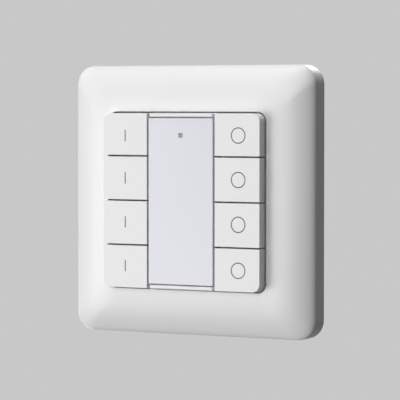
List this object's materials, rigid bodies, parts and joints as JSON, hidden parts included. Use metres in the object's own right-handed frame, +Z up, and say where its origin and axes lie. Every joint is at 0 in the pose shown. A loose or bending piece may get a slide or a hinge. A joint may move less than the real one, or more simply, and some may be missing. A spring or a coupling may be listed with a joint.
{
  "type": "lighting control panel",
  "caption": "Square flush-mounted lighting control panel with two columns of push keys, a label window between them and a domed cover frame.",
  "frame": {"origin": "centre of the mounting plate's back face, on the wall surface", "axes": "+X to the right of someone facing the panel, +Y into the wall, +Z up; the keys face -Y"},
  "size_m": [0.0844, 0.0377, 0.0844],
  "materials": {
    "frame_white": "satin moulded thermoplastic",
    "key_white": "fine satin moulded thermoplastic",
    "window_clear": "clear polished cover, pale through the card",
    "card_pale": "plain blank label card",
    "dot_grey": "smoky light guide",
    "led_white": "lamp body",
    "zinc_steel": "zinc-plated pressed sheet",
    "screw_steel": "bright zinc",
    "housing_grey": "textured moulded plastic",
    "board_green": "solder resist",
    "chip_black": "moulded resin",
    "switch_dark": "moulded resin",
    "plunger_pale": "moulded resin",
    "can_aluminium": "drawn can",
    "pin_metal": "bright pin",
    "terminal_red": "moulded plastic",
    "terminal_dark": "moulded plastic"
  },
  "bodies": {
    "panel": {"cover_frame": "frame_white", "key_carrier": "frame_white", "mounting_plate": "zinc_steel", "label_window": "window_clear", "label_card": "card_pale", "indicator_lens": "dot_grey", "indicator_led": "led_white", "key_board": "board_green", "coupler_board": "board_green", "processor_chip": "chip_black", "bus_driver_chip": "chip_black", "board_socket": "chip_black", "board_header": "chip_black", "board_screws": "screw_steel", "lid_screws": "screw_steel", "housing_lid": "housing_grey", "rear_housing": "housing_grey", "storage_capacitor": "can_aluminium", "power_choke": "chip_black", "terminal_pins": "pin_metal", "terminal_red": "terminal_red", "terminal_black": "terminal_dark", "switch_on_1": "switch_dark", "switch_on_2": "switch_dark", "switch_on_3": "switch_dark", "switch_on_4": "switch_dark", "switch_off_1": "switch_dark", "switch_off_2": "switch_dark", "switch_off_3": "switch_dark", "switch_off_4": "switch_dark"},
    "key_on_1": {"button_on_1": "key_white", "plunger_on_1": "plunger_pale"},
    "key_on_2": {"button_on_2": "key_white", "plunger_on_2": "plunger_pale"},
    "key_on_3": {"button_on_3": "key_white", "plunger_on_3": "plunger_pale"},
    "key_on_4": {"button_on_4": "key_white", "plunger_on_4": "plunger_pale"},
    "key_off_1": {"button_off_1": "key_white", "plunger_off_1": "plunger_pale"},
    "key_off_2": {"button_off_2": "key_white", "plunger_off_2": "plunger_pale"},
    "key_off_3": {"button_off_3": "key_white", "plunger_off_3": "plunger_pale"},
    "key_off_4": {"button_off_4": "key_white", "plunger_off_4": "plunger_pale"}
  },
  "joints": [
    {"name": "press_on_1", "type": "slide", "parent": "panel", "child": "key_on_1", "axis": [0, 1, 0], "range_m": [0, 0.0008], "stiffness_N_per_m": 900},
    {"name": "press_on_2", "type": "slide", "parent": "panel", "child": "key_on_2", "axis": [0, 1, 0], "range_m": [0, 0.0008], "stiffness_N_per_m": 900},
    {"name": "press_on_3", "type": "slide", "parent": "panel", "child": "key_on_3", "axis": [0, 1, 0], "range_m": [0, 0.0008], "stiffness_N_per_m": 900},
    {"name": "press_on_4", "type": "slide", "parent": "panel", "child": "key_on_4", "axis": [0, 1, 0], "range_m": [0, 0.0008], "stiffness_N_per_m": 900},
    {"name": "press_off_1", "type": "slide", "parent": "panel", "child": "key_off_1", "axis": [0, 1, 0], "range_m": [0, 0.0008], "stiffness_N_per_m": 900},
    {"name": "press_off_2", "type": "slide", "parent": "panel", "child": "key_off_2", "axis": [0, 1, 0], "range_m": [0, 0.0008], "stiffness_N_per_m": 900},
    {"name": "press_off_3", "type": "slide", "parent": "panel", "child": "key_off_3", "axis": [0, 1, 0], "range_m": [0, 0.0008], "stiffness_N_per_m": 900},
    {"name": "press_off_4", "type": "slide", "parent": "panel", "child": "key_off_4", "axis": [0, 1, 0], "range_m": [0, 0.0008], "stiffness_N_per_m": 900}
  ]
}
